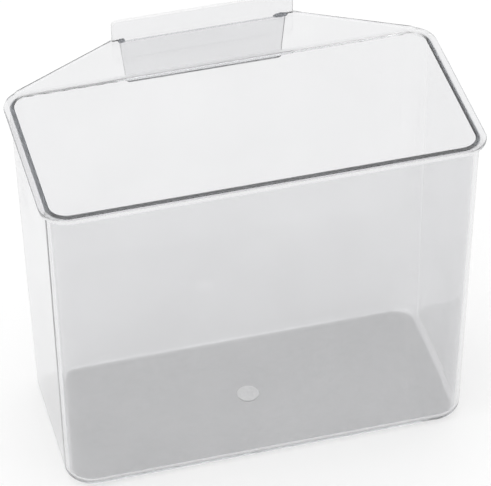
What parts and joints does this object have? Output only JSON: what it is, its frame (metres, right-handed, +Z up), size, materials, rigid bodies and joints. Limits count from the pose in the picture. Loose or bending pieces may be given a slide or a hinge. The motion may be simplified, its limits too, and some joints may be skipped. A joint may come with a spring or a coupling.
{
  "type": "aquarium specimen container",
  "caption": "Clear rectangular tub with leaning walls, rounded corners and a narrow lip, hung on a tank's edge by a trapezoid shelf and a flat hook plate behind it.",
  "frame": {"origin": "on the ground, under the middle of the tub's base", "axes": "+Z up, +X along the long side to the viewer's right when the front faces the viewer, +Y from the front wall to the hook plate"},
  "size_m": [0.216, 0.1327, 0.1877],
  "materials": {
    "tub_plastic": "clear, glossy, moulded",
    "plate_plastic": "clear, glossy, flat sheet with eased edges"
  },
  "bodies": {
    "root": {"tub": "tub_plastic", "hook_plate": "plate_plastic"}
  },
  "joints": []
}
